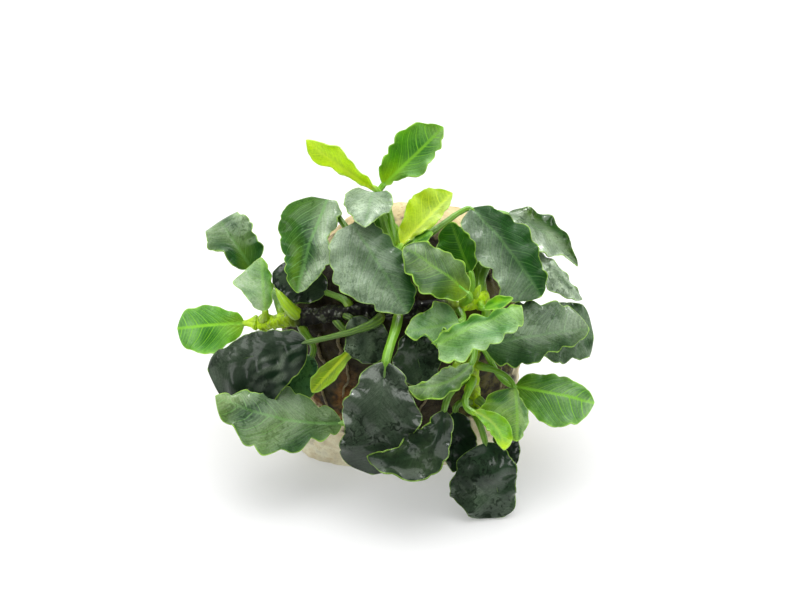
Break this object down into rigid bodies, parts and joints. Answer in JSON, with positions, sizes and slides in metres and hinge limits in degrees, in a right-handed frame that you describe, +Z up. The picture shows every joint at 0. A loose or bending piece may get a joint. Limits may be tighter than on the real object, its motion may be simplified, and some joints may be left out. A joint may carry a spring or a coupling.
{
  "type": "anubias nana plant on a stone",
  "caption": "Small broad-leaved aquarium plant with creeping rhizomes, gripping the leaning front of a pale river stone that stands on its flat underside.",
  "frame": {"origin": "middle of the stone's flat underside", "axes": "+Z up out of the underside, -Y out of the planted front, +X to the right of someone who looks at that front"},
  "size_m": [0.1549, 0.1182, 0.127],
  "materials": {
    "stone": "rough, worn",
    "rhizome": "satin",
    "root": "dull",
    "young": "satin, yellow-green new leaf",
    "fresh": "satin, bright green leaf",
    "grown": "glossy, full green leaf",
    "dark": "wet gloss, dark green leaf"
  },
  "bodies": {
    "root": {"stone": "stone", "rhizome_main": "rhizome", "rhizome_upper": "rhizome", "rhizome_lower": "rhizome", "leaf_top_left": "young", "leaf_top_right": "fresh", "leaf_top_small": "grown", "leaf_upper_left": "grown", "leaf_centre": "grown", "leaf_upper_young": "young", "leaf_top_inner": "fresh", "leaf_upper_tiny": "fresh", "leaf_upper_right": "grown", "leaf_centre_right": "fresh", "leaf_upper_inner": "fresh", "leaf_far_upper_right": "grown", "leaf_far_right": "grown", "leaf_right_young": "fresh", "leaf_middle_small": "fresh", "leaf_front_right": "fresh", "leaf_right": "grown", "leaf_right_back": "grown", "leaf_lower_right": "fresh", "leaf_lower_right_inner": "fresh", "leaf_lower_young": "young", "leaf_bottom_right": "dark", "leaf_bottom_back": "dark", "leaf_bottom_inner": "dark", "leaf_bottom_folded": "dark", "leaf_lower_middle": "fresh", "leaf_bottom_centre": "dark", "leaf_middle_left": "dark", "leaf_middle_right": "dark", "leaf_left_young": "young", "leaf_lower_left": "grown", "leaf_left_dark": "dark", "leaf_left_under": "dark", "leaf_left_inner": "dark", "leaf_far_left": "fresh", "leaf_left_small": "fresh", "leaf_upper_far_left": "grown", "shoot_left": "young", "shoot_right": "young", "shoot_lower": "young", "root_1": "root", "root_2": "root", "root_3": "root", "root_4": "root", "root_5": "root", "root_6": "root"}
  },
  "joints": []
}
